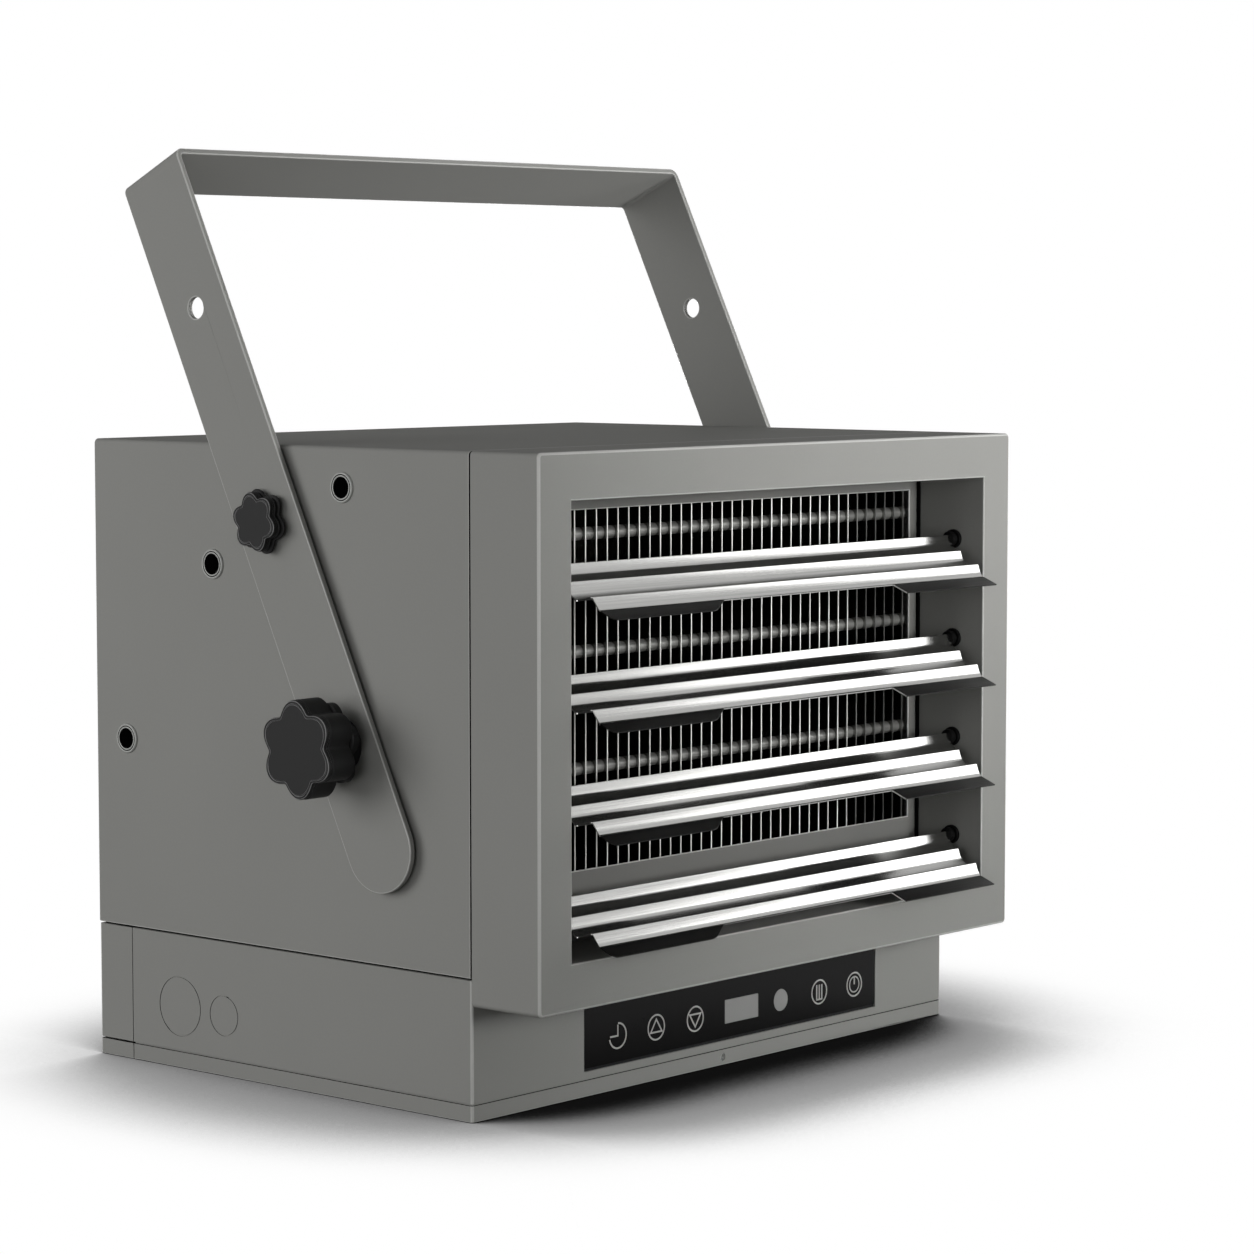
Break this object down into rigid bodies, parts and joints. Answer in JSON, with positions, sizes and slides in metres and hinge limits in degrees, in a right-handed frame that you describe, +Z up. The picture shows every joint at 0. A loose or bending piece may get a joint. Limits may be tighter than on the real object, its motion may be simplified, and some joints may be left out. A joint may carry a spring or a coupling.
{
  "type": "ceiling mounted fan heater",
  "caption": "Box-shaped electric fan heater with a projecting hood, tilting louvres over a finned element, a touch panel in its base and a U bracket held by star knobs.",
  "frame": {"origin": "middle of the cabinet's footprint on the underside of the bottom plate", "axes": "+Z up, -Y towards the louvred front, +X to the right as seen from the front"},
  "size_m": [0.3728, 0.272, 0.3863],
  "materials": {
    "paint": "fine textured grey powder coat",
    "paint_hood": "fine textured grey powder coat",
    "paint_dark": "dark grey powder coat in shade",
    "black_steel": "black powder coat",
    "black_plastic": "satin black moulding",
    "panel_lens": "gloss black with light grey marks",
    "panel_window": "light grey window",
    "zinc": "zinc plated",
    "element_steel": "plain steel",
    "fin_aluminium": "plain thin fins",
    "louvre_aluminium": "bright brushed extrusion",
    "motor_grey": "grey motor can",
    "board": "green circuit board",
    "terminal": "cream moulded block"
  },
  "bodies": {
    "cabinet": {"cabinet_wrap": "paint", "rear_panel": "paint", "rear_guard": "black_steel", "chassis_floor": "paint_dark", "front_bulkhead": "paint_dark", "front_hood": "paint_hood", "base_housing": "paint", "base_rear_cover": "paint", "bottom_plate": "paint", "panel_carrier": "black_plastic", "control_glass": "panel_lens", "display_window": "panel_window", "receiver_window": "panel_window", "control_board": "board", "relay_board": "board", "terminal_block": "terminal", "thermal_cutout": "zinc", "rivet_nuts_left": "zinc", "rivet_nuts_right": "zinc", "pivot_washers": "zinc", "element_fins": "fin_aluminium", "element_end_plates": "fin_aluminium", "fan_shroud": "paint_dark", "fan_motor": "motor_grey", "motor_mount": "paint_dark", "louvre_bushes": "black_plastic", "case_screws": "zinc", "guard_screws": "zinc", "element_tube_1": "element_steel", "element_tube_2": "element_steel", "element_tube_3": "element_steel", "element_tube_4": "element_steel"},
    "fan": {"motor_shaft": "element_steel", "fan_blade": "black_steel"},
    "tilt_bracket": {"bracket": "paint"},
    "left_pivot_knob": {"pivot_knob_left": "black_plastic", "pivot_stud_left": "zinc"},
    "right_pivot_knob": {"pivot_knob_right": "black_plastic", "pivot_stud_right": "zinc"},
    "left_lock_knob": {"lock_knob_left": "black_plastic", "lock_stud_left": "zinc"},
    "right_lock_knob": {"lock_knob_right": "black_plastic", "lock_stud_right": "zinc"},
    "louvre_blade_1": {"louvre_1": "louvre_aluminium", "louvre_pins_1": "black_plastic"},
    "louvre_blade_2": {"louvre_2": "louvre_aluminium", "louvre_pins_2": "black_plastic"},
    "louvre_blade_3": {"louvre_3": "louvre_aluminium", "louvre_pins_3": "black_plastic"},
    "louvre_blade_4": {"louvre_4": "louvre_aluminium", "louvre_pins_4": "black_plastic"}
  },
  "joints": [
    {"name": "bracket_tilt", "type": "hinge", "parent": "cabinet", "child": "tilt_bracket", "pos_m": [0, -0.044, 0.1457], "axis": [1, 0, 0], "range_deg": [-67.5, 23.3]},
    {"name": "left_pivot_knob_turn", "type": "hinge", "parent": "cabinet", "child": "left_pivot_knob", "pos_m": [0, -0.044, 0.1457], "axis": [1, 0, 0], "continuous": true},
    {"name": "right_pivot_knob_turn", "type": "hinge", "parent": "cabinet", "child": "right_pivot_knob", "pos_m": [0, -0.044, 0.1457], "axis": [1, 0, 0], "continuous": true},
    {"name": "left_lock_knob_turn", "type": "hinge", "parent": "tilt_bracket", "child": "left_lock_knob", "pos_m": [0, -0.00135, 0.23393], "axis": [1, 0, 0], "continuous": true},
    {"name": "right_lock_knob_turn", "type": "hinge", "parent": "tilt_bracket", "child": "right_lock_knob", "pos_m": [0, -0.00135, 0.23393], "axis": [1, 0, 0], "continuous": true},
    {"name": "fan_spin", "type": "hinge", "parent": "cabinet", "child": "fan", "pos_m": [0, -0.03, 0.1607], "axis": [0, 1, 0], "continuous": true},
    {"name": "louvre_1_tilt", "type": "hinge", "parent": "cabinet", "child": "louvre_blade_1", "pos_m": [0, -0.13, 0.2185], "axis": [1, 0, 0], "range_deg": [-45, 50]},
    {"name": "louvre_2_tilt", "type": "hinge", "parent": "cabinet", "child": "louvre_blade_2", "pos_m": [0, -0.13, 0.1745], "axis": [1, 0, 0], "range_deg": [-45, 50]},
    {"name": "louvre_3_tilt", "type": "hinge", "parent": "cabinet", "child": "louvre_blade_3", "pos_m": [0, -0.13, 0.1305], "axis": [1, 0, 0], "range_deg": [-45, 50]},
    {"name": "louvre_4_tilt", "type": "hinge", "parent": "cabinet", "child": "louvre_blade_4", "pos_m": [0, -0.13, 0.0865], "axis": [1, 0, 0], "range_deg": [-45, 12]}
  ]
}
